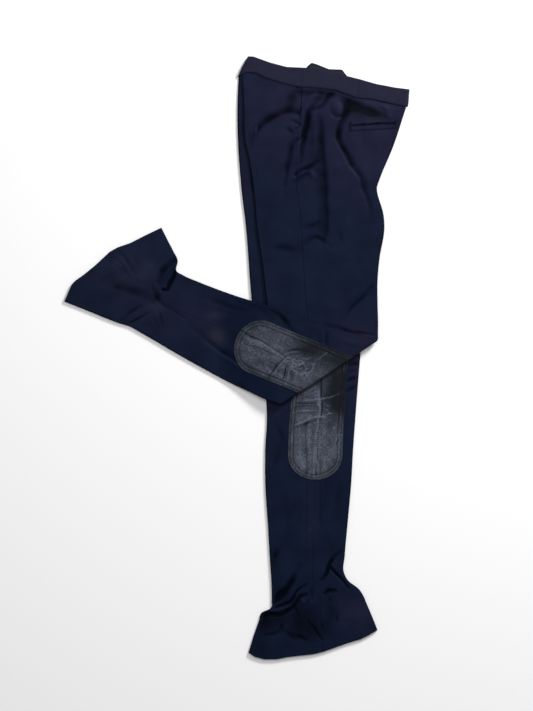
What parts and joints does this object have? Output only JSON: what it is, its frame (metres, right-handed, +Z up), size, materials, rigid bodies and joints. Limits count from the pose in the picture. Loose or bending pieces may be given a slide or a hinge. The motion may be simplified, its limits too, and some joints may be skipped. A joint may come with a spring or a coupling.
{
  "type": "riding breeches laid flat",
  "caption": "Long riding breeches with bell hems and suede knee patches, laid flat on one side with the near lower leg folded back over the thigh.",
  "frame": {"origin": "under the middle of the garment's box, on the surface that it lies on", "axes": "+Y towards the waist along the straight leg, +X towards the seat, +Z up from the surface"},
  "size_m": [0.6566, 1.1423, 0.0224],
  "materials": {
    "gabardine": "navy stretch gabardine twill, matt with a faint sheen",
    "waistband_cloth": "the same navy gabardine over interlining, a little worn",
    "band_lining": "dark plain-woven band lining",
    "suede": "charcoal suede, scuffed to blue-grey"
  },
  "bodies": {
    "root": {"left_front": "gabardine", "left_back": "gabardine", "right_front": "gabardine", "right_back": "gabardine", "waistband_left_front": "waistband_cloth", "waistband_left_side": "waistband_cloth", "waistband_left_back": "waistband_cloth", "waistband_right": "waistband_cloth", "waistband_right_lining": "band_lining", "left_pocket_facing": "waistband_cloth", "left_pocket_jet_upper": "gabardine", "left_pocket_jet_lower": "gabardine", "knee_patch_left": "suede", "knee_patch_right": "suede"}
  },
  "joints": []
}
